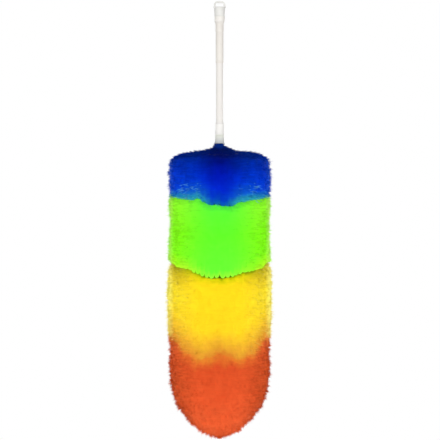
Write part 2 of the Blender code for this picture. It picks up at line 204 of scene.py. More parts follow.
# Real fibre is about 0.1 mm thick, too fine to show: a strand here stands for a lock of it
STRAND_LENGTH = 12 * MM
STRAND_THICKNESS = 0.62 * MM
STRAND_SPACING = 1.02 * MM
STRAND_REACH = 0.55
SHORTEST_REACH = 0.05
STRAND_CHANCES = (
    (0.75, 1.1),  # length
    (-1.0, 0.5),  # height of the tip
    (0.0, 1.0),  # tint
    (0.0, tau),  # turn about itself
    (0.35, 0.65),  # half thickness
    (0.0, 1.0),  # stray
    (0.0, 1.0),  # pale
)
SPREAD_SEED = 11
BAND_SEED_STEP = 100
DENSITY = 3.0
NOT_STRAY = 0.86
CELL_MARGIN = 0.05
# (height, half thickness, bend) up to the tip, which has no thickness
STRAND_RINGS = ((0.0, 1.0, 0.0), (0.4, 0.95, 1.2), (0.74, 0.72, 3.0))
STRAND_TIP = (1.0, 5.6)
# The undercoat takes the painted root shade of a strand between root and tip, and its bore that
# near the root
UNDERCOAT_ALONG = 0.8
BORE_ALONG = 0.2
MIDDLE_TINT = 0.5

# Cut hem: rounded tufts with narrow gaps between, which fill up towards the duster's sides
HEM_TUFTS = 64
HEM_GAP = 7 * MM
HEM_GAP_POWER = 2.2
# (change, how often round, seed) of the tufts' places, and (middle, change, how often round,
# seed) of the gaps' depth
HEM_UNEVEN = (0.06, 6, 4)
HEM_DEPTH = (0.75, 0.5, 7, 9)
HEM_LEAST = 0.2
HEM_FILLED = 0.75
HEM_SIDES = (0.4, 0.7)

# How far each colour edge hangs below its height at the duster's two sides, in millimetres,
# against how far aside a point lies as a share of the radius. The first edge differs from left,
# -1, to right, 1; the others run from 0 at the front and back to 1 at both sides
BLUE_EDGE = {
    -1: 0, -0.62: 5, -0.5: 4, -0.43: 1.5, -0.32: 8, -0.22: 12.2, 0: 12.4,
    0.22: 12.2, 0.33: 10, 0.42: 8, 0.6: 6.6, 0.75: 4.4, 1: 0,
}
GREEN_EDGE = {0: 19.5, 0.25: 19, 0.4: 15, 0.6: 10, 0.85: 5, 1: -2}
YELLOW_EDGE = {
    0: 16.8, 0.13: 21.5, 0.26: 22.8, 0.38: 27, 0.5: 26, 0.6: 19.5,
    0.7: 19, 0.76: 15.4, 0.84: 6.5, 0.9: 1, 1: -4,
}
# (height, table, seed) of the edges between the bands, from the top down
EDGES = (
    (-270.5 * MM, BLUE_EDGE, 3.1),
    (-362 * MM, GREEN_EDGE, 7.7),
    (-467 * MM, YELLOW_EDGE, 5.3),
)
EDGE_BLEND = 0.04
EDGE_WANDER = 1.6 * MM
# (how often round, share of the wander)
EDGE_WAVES = ((2.2, 1.5), (9, 1))

# How far aside the ends take painted light, and the fibre clings in tufts, as shares of the radius
PAINTED_RIM_SPAN = (0.86, 0.97)
TUFTED = (0.8, 0.98)
LEAST_TUFTED = 0.35
LEAST_COVER = 0.02

# Thinned blue: where down the band and how far aside it comes, and how far aside it goes
THIN_PATCH = ((0.77, 0.91), (0.1, 0.36), (0.55, 0.85))
THIN_PATCH_AMOUNT = 0.16
THIN_EDGE = ((0.915, 0.97), (0.12, 0.36), (0.7, 1))
THIN_EDGE_AMOUNT = 0.66
THIN_EDGE_LESS = 0.6
FROST_PATCH = ((0.78, 0.88), (0.3, 0.5), (0.72, 0.86))
FROST_CHANCE = 0.32
FROST_STREAKS = (5, 5, 22)
FROST_SPAN = (-0.2, 0.3)

# Kinds of node and of value that come over and over
MATH = "ShaderNodeMath"
VECTOR_MATH = "ShaderNodeVectorMath"
MAP_RANGE = "ShaderNodeMapRange"
NOISE = "ShaderNodeTexNoise"
MIX = "ShaderNodeMix"
RAMP = "ShaderNodeValToRGB"
SET_POSITION = "GeometryNodeSetPosition"
NAMED = "GeometryNodeInputNamedAttribute"
STORE = "GeometryNodeStoreNamedAttribute"
RANDOM = "FunctionNodeRandomValue"
VECTOR = "FLOAT_VECTOR"

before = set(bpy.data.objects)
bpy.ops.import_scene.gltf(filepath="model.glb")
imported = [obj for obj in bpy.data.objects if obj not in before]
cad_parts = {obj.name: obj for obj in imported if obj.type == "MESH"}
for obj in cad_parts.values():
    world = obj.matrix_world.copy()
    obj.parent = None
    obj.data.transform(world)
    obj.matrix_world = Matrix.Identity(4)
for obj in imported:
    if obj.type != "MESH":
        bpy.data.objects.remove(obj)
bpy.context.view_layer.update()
scene = bpy.context.scene


def linear(code, alpha=1.0):
    """A colour written as sRGB hex, in linear light."""
    shares = [int(code[place : place + 2], 16) / 255 for place in (1, 3, 5)]
    return (*(s / 12.92 if s <= 0.04045 else ((s + 0.055) / 1.055) ** 2.4 for s in shares), alpha)


def fill(tree, node, inputs):
    """Fills or links a node's inputs, given by name or in order. A node given as a value stands
    for its first output."""
    for name, value in inputs.items() if isinstance(inputs, dict) else enumerate(inputs):
        if isinstance(value, bpy.types.Node):
            value = next(socket for socket in value.outputs if socket.enabled)
        if isinstance(value, bpy.types.NodeSocket):
            tree.links.new(value, node.inputs[name])
        else:
            node.inputs[name].default_value = value


def add(tree, kind, inputs=(), operation=None, stops=None, **settings):
    """A new node with its settings, and its inputs filled or linked. Stops are the colours of a
    ramp at their shares, from share 0 to share 1."""
    node = tree.nodes.new(kind)
    if operation:
        node.operation = operation
    for name, value in settings.items():
        setattr(node, name, value)
    if stops:
        elements = node.color_ramp.elements
        elements[0].color, elements[1].color = linear(stops[0.0]), linear(stops[1.0])
        for share in list(stops)[1:-1]:
            elements.new(share).color = linear(stops[share])
    fill(tree, node, inputs)
    return node


def new_material(name):
    """A material, its tree and its shader."""
    material = bpy.data.materials.new(name)
    material.use_nodes = True
    return material, material.node_tree, material.node_tree.nodes["Principled BSDF"]


def finish_plastic(tree, shader, tone, cloud, grain, shade, gloss, relief):
    """What all white polypropylene here has: a shade that wanders with one pattern, and a gloss
    and a faint relief that follow another."""
    put = partial(add, tree)
    shade = put(MAP_RANGE, (cloud, *NOISE_SPAN, *shade))
    gloss = put(MAP_RANGE, (grain, *NOISE_SPAN, *gloss))
    toned = put("ShaderNodeHueSaturation", {"Color": tone, "Value": shade})
    bump = put("ShaderNodeBump", {"Height": grain, "Strength": relief[0], "Distance": relief[1]})
    fill(tree, shader, {"Base Color": toned, "Roughness": gloss, "Normal": bump, **PLASTIC})


def moulded_plastic(name, *tones):
    """Polypropylene from a polished mould: an even, slightly waxy white whose gloss wanders a
    little. The tones are (height, colour) from the lowest up: the colour changes with height,
    which on some pieces is painted light and shade."""
    material, tree, shader = new_material(name)
    place = add(tree, "ShaderNodeTexCoord").outputs["Object"]
    cloud, grain = (
        add(tree, NOISE, {"Vector": place, "Scale": 1 / size, "Detail": detail})
        for size, detail in ((CLOUD_SIZE, 3.0), (GRAIN_SIZE, 2.0))
    )
    tone = linear(tones[0][1])
    if len(tones) > 1:
        low, high = tones[0][0], tones[-1][0]
        height = add(tree, "ShaderNodeSeparateXYZ", {"Vector": place}).outputs["Z"]
        up = add(tree, MAP_RANGE, (height, low, high))
        stops = {(level - low) / (high - low): code for level, code in tones}
        tone = add(tree, RAMP, [up], stops=stops)
    look = {"shade": (0.97, 1.02), "gloss": (0.33, 0.42), "relief": (0.08, 0.05 * MM)}
    finish_plastic(tree, shader, tone, cloud, grain, **look)
    return material


def extruded_plastic(name, colour):
    """Polypropylene tube drawn through a die: fine straight lines run along it."""
    material, tree, shader = new_material(name)
    place = add(tree, "ShaderNodeTexCoord").outputs["Object"]
    drawn = add(tree, "ShaderNodeMapping", {"Vector": place, "Scale": (1, 1, DRAWN_STRETCH)})
    lines = add(tree, NOISE, {"Vector": drawn, "Scale": 1 / DRAWN_LINE, "Detail": 2.0})
    look = {"shade": (0.965, 1.01), "gloss": (0.3, 0.42), "relief": (0.15, 0.06 * MM)}
    finish_plastic(tree, shader, linear(colour), lines, lines, **look)
    return material


def galvanised_steel():
    """Zinc-dipped wire: a grey spangle of duller and brighter patches."""
    material, tree, shader = new_material("galvanised_steel_wire")
    place = add(tree, "ShaderNodeTexCoord").outputs["Object"]
    spangle = add(tree, "ShaderNodeTexVoronoi", {"Vector": place, "Scale": 1 / SPANGLE_SIZE})
    greys = {"Factor": spangle, "A": linear("#a9adb0"), "B": linear("#7f8488")}
    tone = add(tree, MIX, greys, data_type="RGBA")
    gloss = add(tree, MAP_RANGE, (spangle, 0, 1, 0.32, 0.55))
    fill(tree, shader, {"Base Color": tone, "Roughness": gloss, "Metallic": 1.0})
    return material


def dyed_fibre(name, band):
    """Crimped polypropylene fibre, dyed in the melt and blown open. Painted shade darkens the
    strands towards their roots, painted light pales their ends towards the head's sides, and
    single strands and whole tufts vary. The colours run down the band, in one row at its front
    and back and in another at its sides, which is a painted lit and shaded copy of the first."""
    material, tree, shader = new_material(name)
    place = add(tree, "ShaderNodeTexCoord").outputs["Object"]
    put = partial(add, tree)
    share, along, tint, stray, frost, thin = (
        put("ShaderNodeAttribute", attribute_name=key).outputs["Fac"]
        for key in ("share", "along", "tint", "stray", "frosted", "thin")
    )
    outward = put("ShaderNodeAttribute", attribute_name="outward").outputs["Vector"]
    facing = put("ShaderNodeNewGeometry").outputs["Normal"]
    aside = put("ShaderNodeSeparateXYZ", {"Vector": place})
    aside = put(MATH, [aside], "ABSOLUTE")
    sideways, painted_rim_light = (
        put(
            MAP_RANGE,
            (aside, first * HEAD_RADIUS, last * HEAD_RADIUS, 0, most),
            interpolation_type="SMOOTHSTEP",
        )
        for (first, last), most in ((band["turn"], 1), (PAINTED_RIM_SPAN, band["painted_rim_amount"]))
    )
    cloud = put(NOISE, {"Vector": place, "Scale": 1 / DYE_CLOUD, "Detail": 3.0})
    drift = put(MAP_RANGE, (cloud, *NOISE_SPAN, -DYE_DRIFT, DYE_DRIFT))
    share = put(MATH, (share, drift), "ADD")
    # Painted light on the ends: on strays towards the sides, and on all strands at the very sides
    painted_stray_tips = put(MATH, (stray, sideways), "MULTIPLY")
    painted_stray_tips = put(MATH, (painted_stray_tips, band["painted_tip_amount"]), "MULTIPLY")
    painted_light = put(MATH, (painted_stray_tips, painted_rim_light), "MAXIMUM")
    painted_ends = put(MAP_RANGE, (along, *PAINTED_END_SPAN))
    painted_ends = put(MATH, (painted_ends, painted_light), "MULTIPLY")
    tone, side = (put(RAMP, [share], stops=band[row]) for row in ("middle", "side"))
    # The side row is a painted lit and shaded copy of the colours, for the head's sides
    for factor, colour in (
        (sideways, side),
        (thin, linear(band["thin"])),
        (frost, linear(band["frost"])),
        (painted_ends, linear(band["pale"])),
    ):
        tone = put(MIX, {"Factor": factor, "A": tone, "B": colour}, data_type="RGBA")
    # Whole streaks that run level round the head differ too, most of all at its sides, where their
    # darker parts are painted shade
    level = put(VECTOR_MATH, (place, [1 / size for size in STREAK_SIZE]), "MULTIPLY")
    streak = put(NOISE, {"Vector": level, "Scale": 1.0, "Detail": 2.0})
    streak = put(MAP_RANGE, (streak, *STREAK_SPAN))
    swing = put(MAP_RANGE, (sideways, 0, 1, LEAST_STREAKS, band["streaks"]))
    single = put(MAP_RANGE, (tint, 0, 1, *STRAND_SHADE))
    single = put(MATH, (streak, swing, single), "MULTIPLY_ADD")
    # Painted shade, deepest at the roots, for the shade deep in the pile
    depth = put(MAP_RANGE, (along, *ROOT_SHADE))
    value = put(MATH, (depth, single), "MULTIPLY")
    toned = put("ShaderNodeHueSaturation", {"Color": tone, "Value": value})
    # Light that enters a strand leaves it again round about, so it shades like the pile's surface
    shading = put(MIX, {"Factor": PILE_SHADING, "A": facing, "B": outward}, data_type="VECTOR")
    shading = put(VECTOR_MATH, [shading], "NORMALIZE")
    looks = {"Base Color": toned, "Specular Tint": toned, "Normal": shading}
    fill(tree, shader, looks | FIBRE_SHADER)
    return material


def coat(mesh, material):
    mesh.materials.clear()
    mesh.materials.append(material)


def link(name, data, material=None):
    """A mesh, a lamp or a camera as an object of the scene."""
    if material:
        coat(data, material)
    piece = bpy.data.objects.new(name, data)
    scene.collection.objects.link(piece)
    return piece


def filleted(corners, steps=FILLET_STEPS):
    """The closed outline with each corner that names a radius turned into an arc of it."""
    outline = []
    for index, (across, up, *radius) in enumerate(corners):
        corner = Vector((across, up))
        if not radius:
            outline.append(corner)
            continue
        before = Vector(corners[index - 1][:2]) - corner
        after = Vector(corners[(index + 1) % len(corners)][:2]) - corner
        half = before.angle(after) / 2
        reach = min(radius[0] / tan(half), before.length / 2, after.length / 2)
        before.normalize()
        after.normalize()
        centre = corner + (before + after).normalized() * (reach / cos(half))
        arm = corner + before * reach - centre
        start = arm.normalized()
        end = (corner + after * reach - centre).normalized()
        for step in range(steps + 1):
            outline.append(centre + start.slerp(end, step / steps) * arm.length)
    return outline


def turned(name, corners, material):
    """A piece turned about Z from (radius, height) corners. Corners on the axis close it there."""
    mesh = bmesh.new()
    outline = filleted(corners)
    points = [mesh.verts.new((across, 0, up)) for across, up in outline]
    edges = [mesh.edges.new(pair) for pair in zip(points, points[1:])]
    if outline[0].x > 0:
        edges.append(mesh.edges.new((points[-1], points[0])))
    bmesh.ops.spin(
        mesh,
        geom=points + edges,
        cent=(0, 0, 0),
        axis=(0, 0, 1),
        angle=tau,
        steps=ROUND_SEGMENTS,
        use_merge=True,
    )
    bmesh.ops.remove_doubles(mesh, verts=mesh.verts, dist=MERGE_DISTANCE)
    return link(name, finished(name, mesh), material)


def finished(name, mesh):
    """Faces outwards, smooth where the surface is round."""
    bmesh.ops.recalc_face_normals(mesh, faces=mesh.faces)
    data = bpy.data.meshes.new(name)
    mesh.to_mesh(data)
    mesh.free()
    data.shade_smooth()
    data.set_sharp_from_angle(angle=SHARP_ANGLE)
    return data


def between(rings):
    """The corners of each face between closed rings of points, from the first ring on."""
    for near, far in zip(rings, rings[1:]):
        for index in range(len(near)):
            after = (index + 1) % len(near)
            yield near[index], near[after], far[after], far[index]


def eye_strap(flange_radius):
    """The arch over the cap, one rounded strap that widens into the flange at its two feet."""
    foot = flange_radius - EYE_STRAP / 2 - EYE_INSET
    shoulder = (EYE_TOP_WIDTH + EYE_STRAP) / 2
    crest = EYE_STRAP / 2
    root = FLANGE_TOP - EYE_ROOT
    bends = ((-shoulder, crest, EYE_CORNER), (shoulder, crest, EYE_CORNER))
    corners = filleted(((-foot, root), *bends, (foot, root)), EYE_STEPS // 4)
    lengths = [0.0]
    for before, after in zip(corners, corners[1:]):
        lengths.append(lengths[-1] + (after - before).length)
    path = [
        Vector([np.interp(lengths[-1] * step / EYE_STEPS, lengths, axis) for axis in zip(*corners)])
        for step in range(EYE_STEPS + 1)
    ]
    mesh = bmesh.new()
    rings = []
    for index, point in enumerate(path):
        along = path[min(index + 1, EYE_STEPS)] - path[max(index - 1, 0)]
        side = Vector((along.y, -along.x)).normalized()
        above = max(0.0, point.y - FLANGE_TOP)
        flare = EYE_FOOT_FLARE * max(0.0, 1 - above / EYE_FOOT_HEIGHT) ** 2
        wide, deep = EYE_STRAP / 2 + flare, EYE_DEPTH / 2 + flare
        ring = []
        for step in range(SECTION_STEPS):
            turn = tau * step / SECTION_STEPS
            across, back = (
                copysign(abs(part) ** SECTION_POWER, part) * reach
                for part, reach in ((cos(turn), wide), (sin(turn), deep))
            )
            spot = (point.x + side.x * across, back, point.y + side.y * across)
            ring.append(mesh.verts.new(spot))
        rings.append(ring)
    for corners in (*between(rings), rings[0], rings[-1]):
        mesh.faces.new(corners)
    return finished("eye_strap", mesh)


def settle(piece):
    """Takes the piece's modifiers into its mesh."""
    graph = bpy.context.evaluated_depsgraph_get()
    mesh = bpy.data.meshes.new_from_object(piece.evaluated_get(graph))
    piece.modifiers.clear()
    piece.data = mesh


def fit(piece, node=None):
    """The piece rides on the duster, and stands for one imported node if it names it."""
    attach(piece, "root")
    if node:
        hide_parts(node)


def radius_of(node):
    low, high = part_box(node)
    return (high.x - low.x) / 2


def make_end_cap():
    low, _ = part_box("end_cap")
    flange_radius = radius_of("end_cap")
    skirt = FLANGE_TOP - FLANGE_THICKNESS
    seat = skirt - CAP_LENGTH
    spigot = radius_of("handle_tube") - TUBE_WALL - PUSH_GAP
    core = spigot - CAP_SPIGOT_WALL
    cap = turned(
        "end_cap_moulding",
        (
            (0, FLANGE_TOP),
            (flange_radius - 2 * FLANGE_EDGE, FLANGE_TOP),
            (flange_radius, FLANGE_TOP, FLANGE_EDGE),
            (flange_radius, skirt, FLANGE_EDGE),
            (CAP_RADIUS, skirt, FLANGE_EDGE / 2),
            (CAP_RADIUS - CAP_DRAFT, seat, CAP_EDGE),
            (spigot, seat),
            (spigot, low.z + CAP_SPIGOT_CHAMFER),
            (spigot - CAP_SPIGOT_CHAMFER, low.z),
            (core, low.z),
            (core, FLANGE_TOP - CAP_ROOF, CAP_EDGE),
            (0, FLANGE_TOP - CAP_ROOF),
        ),
        moulded_plastic("cap_polypropylene", (0, "#e6e5e1")),
    )
    strap = link("eye_strap", eye_strap(flange_radius))
    union = cap.modifiers.new("eye", "BOOLEAN")
    union.operation = "UNION"
    union.object = strap
    even = cap.modifiers.new("even_shading", "WEIGHTED_NORMAL")
    even.keep_sharp = True
    settle(cap)
    bpy.data.objects.remove(strap)
    fit(cap, "end_cap")


def make_grip_sleeve():
    low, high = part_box("grip_sleeve")
    bore = radius_of("handle_tube") + PUSH_GAP
    collar = radius_of("grip_sleeve")
    upper = bore + UPPER_WALL
    lower = bore + LOWER_WALL
    collar_end = high.z - GRIP_COLLAR_LENGTH
    shoulder_end = collar_end - SHOULDER_LENGTH
    upper_end = shoulder_end - UPPER_LENGTH
    groove = upper_end - STEP_LENGTH - LOWER_LENGTH
    bead_top = groove - GROOVE_LENGTH
    bead = [
        (
            lower + BEAD_HEIGHT * sin(pi * step / BEAD_STEPS),
            bead_top - BEAD_LENGTH * step / BEAD_STEPS,
        )
        for step in range(BEAD_STEPS + 1)
    ]
    sleeve = turned(
        "grip_sleeve_moulding",
        (
            (collar, high.z, GRIP_EDGE / 4),
            (collar, collar_end, GRIP_EDGE),
            (upper, shoulder_end, GRIP_EDGE),
            (upper, upper_end, STEP_EDGE),
            (lower, upper_end - STEP_LENGTH, STEP_EDGE),
            (lower, groove, STEP_EDGE),
            (lower - GROOVE_DEPTH, groove - GROOVE_LENGTH / 2, STEP_EDGE),
            *bead,
            (lower - GROOVE_DEPTH, low.z, GROOVE_DEPTH),
            (bore, low.z),
            (bore, high.z),
        ),
        # The collar is lighter, partly for its thicker wall and partly painted light, and painted
        # shade darkens the shoulder below it
        moulded_plastic(
            "sleeve_polypropylene",
            (shoulder_end, "#e8e3dc"),
            (collar_end - GRIP_EDGE, "#e6e2dc"),
            (collar_end + GRIP_EDGE, "#f0ece6"),
            (high.z, "#eeebe5"),
        ),
    )
    fit(sleeve, "grip_sleeve")


def make_handle_tube():
    low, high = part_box("handle_tube")
    radius = radius_of("handle_tube")
    tube = turned(
        "handle_tube_extrusion",
        (
            (radius, high.z, TUBE_EDGE),
            (radius, low.z, TUBE_EDGE),
            (radius - TUBE_WALL, low.z),
            (radius - TUBE_WALL, high.z),
        ),
        extruded_plastic("tube_polypropylene", "#ebe7e2"),
    )
    fit(tube, "handle_tube")


def make_ferrule():
    low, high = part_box("ferrule")
    socket = radius_of("handle_tube") + PUSH_GAP
    floor = high.z - SOCKET_DEPTH - SEAT_GAP
    base = high.z - FERRULE_LENGTH
    painted_head_glow, painted_shade_start, shade, mouth = FERRULE_PAINTED_LIGHT_AND_SHADE
    ferrule = turned(
        "ferrule_moulding",
        (
            (socket + FERRULE_LIP, high.z, FERRULE_LIP / 2),
            (FERRULE_RADIUS, high.z - CONE_LENGTH, FERRULE_SHOULDER),
            (radius_of("ferrule"), base, FERRULE_EDGE),
            (SPIGOT_RADIUS, base),
            (SPIGOT_RADIUS, low.z, FERRULE_EDGE),
            (WIRE_BORE, low.z),
            (WIRE_BORE, floor),
            (socket, floor),
            (socket, high.z),
        ),
        # Painted light and shade: the head's coloured glow and shade on the foot, and the tube's
        # shadow below the mouth
        moulded_plastic(
            "ferrule_polypropylene",
            (base, "#e8eadf"),
            (base + painted_head_glow, "#f4f2ee"),
            (high.z - painted_shade_start, "#f3f1ed"),
            (high.z - shade, "#e3e0dc"),
            (high.z - mouth, "#ebe8e4"),
        ),
    )
    fit(ferrule, "ferrule")


def make_neck_collar():
    low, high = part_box("neck_collar")
    mouth = radius_of("neck_collar")
    bore = SPIGOT_RADIUS + PUSH_GAP
    collar = turned(
        "neck_collar_moulding",
        (
            (COLLAR_TOP_RADIUS, high.z, COLLAR_EDGE),
            (COLLAR_TOP_RADIUS, high.z - COLLAR_FLARE_START, FERRULE_SHOULDER),
            (mouth, low.z, COLLAR_EDGE),
            (mouth - COLLAR_LIP, low.z),
            (bore, low.z + ROOT_DEPTH),
            (bore, high.z),
        ),
        # Darker and greyer towards its mouth, where it meets the fibre
        moulded_plastic("milky_collar_polypropylene", (low.z, "#bec0c2"), (high.z, "#ebede3")),
    )
    fit(collar, "neck_collar")


class Outline:
    """The head's outline, felt from outside on the packed fibre and measured along its surface
    from the neck down to the tip."""

    def __init__(self):
        corners, faces = [], []
        for node in ("blue_fibre", "green_fibre", "yellow_fibre", "orange_fibre"):
            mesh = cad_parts[node].data
            base = len(corners)
            corners += [vertex.co.copy() for vertex in mesh.vertices]
            faces += [[base + index for index in face.vertices] for face in mesh.polygons]
        solid = BVHTree.FromPolygons(corners, faces)
        top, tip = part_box("blue_fibre")[1].z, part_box("orange_fibre")[0].z
        points = []
        for step in range(OUTLINE_STEPS):
            # Close steps at both ends, where the surface is nearly level
            share = 0.5 - 0.5 * cos(pi * (step + 0.5) / OUTLINE_STEPS)
            height = top + (tip - top) * share
            hit = solid.ray_cast(Vector((1, OFF_SEAM, height)), Vector((-1, 0, 0)))[0]
            if hit:
                points.append((hit.x, height))
        points.append((0.0, tip))
        points = np.array(points)
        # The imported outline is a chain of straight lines, so its corners are eased
        for _ in range(OUTLINE_EASINGS):
            points[1:-1] = (points[:-2] + 2 * points[1:-1] + points[2:]) / 4
        self.radius, self.height = points.T
        self.run = np.concatenate([[0], np.cumsum(np.hypot(*np.diff(points, axis=0).T))])
        slope = np.gradient(points, self.run, axis=0)
        self.slope = slope / np.linalg.norm(slope, axis=1)[:, None]

    def run_at(self, height):
        return float(np.interp(-height, -self.height, self.run))

    def at(self, run):
        """(radius, height, outward slope, downward slope) at a distance along the surface."""
        return [
            float(np.interp(run, self.run, column))
            for column in (self.radius, self.height, self.slope[:, 0], self.slope[:, 1])
        ]


def smooth(value, start, end):
    """0 up to the start, 1 from the end on, and eased between them."""
    share = min(1.0, max(0.0, (value - start) / (end - start)))
    return share * share * (3 - 2 * share)


def point_at(radius, angle, height):
    return radius * cos(angle), radius * sin(angle), height


def edge_run(outline, edge, angle):
    """Where a colour edge lies at an angle round the head, along the surface."""
    height, table, seed = edge
    shares, drops = zip(*table.items())
    near = [cos(angle) + EDGE_BLEND * step for step in (-1, -0.5, 0, 0.5, 1)]
    if shares[0] == 0:
        near = np.abs(near)
    drop = np.mean(np.interp(near, shares, drops)) * MM
    around = Vector((cos(angle), sin(angle), seed))
    wander = sum(noise.noise(around * often) * EDGE_WANDER * high for often, high in EDGE_WAVES)
    return outline.run_at(height - drop - wander)


def hem(angle):
    """How far the tufts of a cut hem fall short of it."""
    around = (cos(angle), sin(angle))
    change, often, seed = HEM_UNEVEN
    turn = HEM_TUFTS * (angle + change * noise.noise(Vector((*around, seed)) * often))
    gap = 1 - abs(sin(turn / 2))
    middle, change, often, seed = HEM_DEPTH
    depth = middle + change * noise.noise(Vector((*around, seed)) * often)
    sides = smooth(abs(cos(angle)), *HEM_SIDES)
    return HEM_GAP * gap**HEM_GAP_POWER * max(HEM_LEAST, depth) * (1 - HEM_FILLED * sides)


def way_of(out, down, share, band):
    """Which way the fibre lies at a point of the surface, as (outward, upward): along the roof
    and lifted a little, square to the surface elsewhere, and drooping."""
    normal = Vector((-down, out))
    roof = smooth(normal.y, *ROOF)
    way = normal * (1 - ROOF_LAID * roof) + Vector((out, down)) * ROOF_ALONG * roof
    way.y -= band["droop"] * (1 - roof) + band["hem_droop"] * smooth(share, *HEM_DROOP)
    return way.normalized()


def surface(outline, band, first, last, inset=0.0, overlap=(0.0, 0.0)):
    """Columns of (radius, height, angle, share, way) between a band's two edges, over a range of
    angles. The share runs from 0 at the upper edge to 1 at the lower."""
    count = max(2, round(ANGLE_STEPS * (last - first) / tau))
    columns = []
    for step in range(count + 1):
        angle = first + (last - first) * step / count
        start = edge_run(outline, band["upper"], angle) if band["upper"] else 0.0
        end = edge_run(outline, band["lower"], angle) if band["lower"] else outline.run[-1]
        end -= hem(angle) * band["hem_cut"]
        start, end = start - overlap[0], end + overlap[1]
        column = []
        for row in range(band["rows"] + 1):
            share = row / band["rows"]
            radius, height, out, down = outline.at(start + (end - start) * share)
            spot = Vector(point_at(radius, angle, height))
            swell = sum(noise.noise(spot / size) * high * MM for size, high in LUMPS)
            swell += band["swell"][0] * (1 - smooth(share, *UPPER_SWELL))
            swell += band["swell"][1] * smooth(share, *LOWER_SWELL)
            swell = swell * smooth(radius, *LUMPS_FROM_AXIS)
            swell -= min(inset, radius * CORE_INSET_SHARE)
            tip = band["tip_swell"] * smooth(share, *TIP_SWELL)
            swell += tip * smooth(radius, *TIP_SWELL_FROM_AXIS)
            # Strands that lie along the roof stand off it, so it starts lower
            lowered = ROOF_DROP * smooth(out, *ROOF_LOWERED)
            swell -= lowered * smooth(radius, *ROOF_LOWERED_FROM_AXIS)
            way = way_of(out, down, share, band)
            radius = max(0.0, radius - down * swell)
            column.append((radius, height + out * swell, angle, share, way))
        columns.append(column)
    return columns


def reach_of(cell):
    """How much of a whole strand there is room for: less near the axis."""
    return min(1.0, STRAND_REACH * cell[0] / STRAND_LENGTH + SHORTEST_REACH)


def grid_mesh(name, columns, rules):
    """A mesh over columns of surface points, with the values that the fibre reads."""
    rows = len(columns[0])
    cells = [cell for column in columns for cell in column]
    points = [point_at(radius, angle, height) for radius, height, angle, *_ in cells]
    faces = []
    for column in range(len(columns) - 1):
        for row in range(rows - 1):
            corner = column * rows + row
            faces.append((corner, corner + 1, corner + rows + 1, corner + rows))
    mesh = bpy.data.meshes.new(name)
    mesh.from_pydata(points, [], faces)
    for key, rule in rules.items():
        numbers = [rule(cell) for cell in cells]
        mesh.attributes.new(key, "FLOAT", "POINT").data.foreach_set("value", numbers)
    ways = [part for *_, angle, _, way in cells for part in point_at(way.x, angle, way.y)]
    mesh.attributes.new("way", VECTOR, "POINT").data.foreach_set("vector", ways)
    return mesh


def strand_object():
    """One strand of unit length along Z, three-sided and tapered, closed at root and tip. Its
    bend is in units of its half thickness."""
    points, along = [], []
    for up, wide, bend in STRAND_RINGS:
        for side in range(3):
            turn = tau * side / 3
            points.append((wide * cos(turn) + bend, wide * sin(turn), up))
            along.append(up)
    up, bend = STRAND_TIP
    points.append((bend, 0, up))
    along.append(up)
    rings = [range(3 * ring, 3 * ring + 3) for ring in range(len(STRAND_RINGS))]
    last = rings[-1]
    point = [(last[side], last[(side + 1) % 3], len(points) - 1) for side in range(3)]
    faces = [*between(rings), *point, (2, 1, 0)]
    mesh = bpy.data.meshes.new("strand")
    mesh.from_pydata(points, [], faces)
    mesh.attributes.new("along", "FLOAT", "POINT").data.foreach_set("value", along)
    layer = mesh.uv_layers.new(name="strand_uv")
    for face in mesh.polygons:
        side = face.index % 3
        for loop in face.loop_indices:
            vertex = mesh.loops[loop].vertex_index
            spot = ((side + (vertex % 3 == (side + 1) % 3)) / 3, along[vertex])
            if vertex == len(points) - 1:
                spot = ((side + 0.5) / 3, 1)
            if face.index == len(mesh.polygons) - 1:
                # The root's face gets a sliver at the foot of the strand's own cell
                spot = (0.4 + 0.2 * vertex / 2, 0.01 if vertex == 1 else 0.0)
            layer.data[loop].uv = spot
    mesh.shade_smooth()
    return link("strand_pattern", mesh)


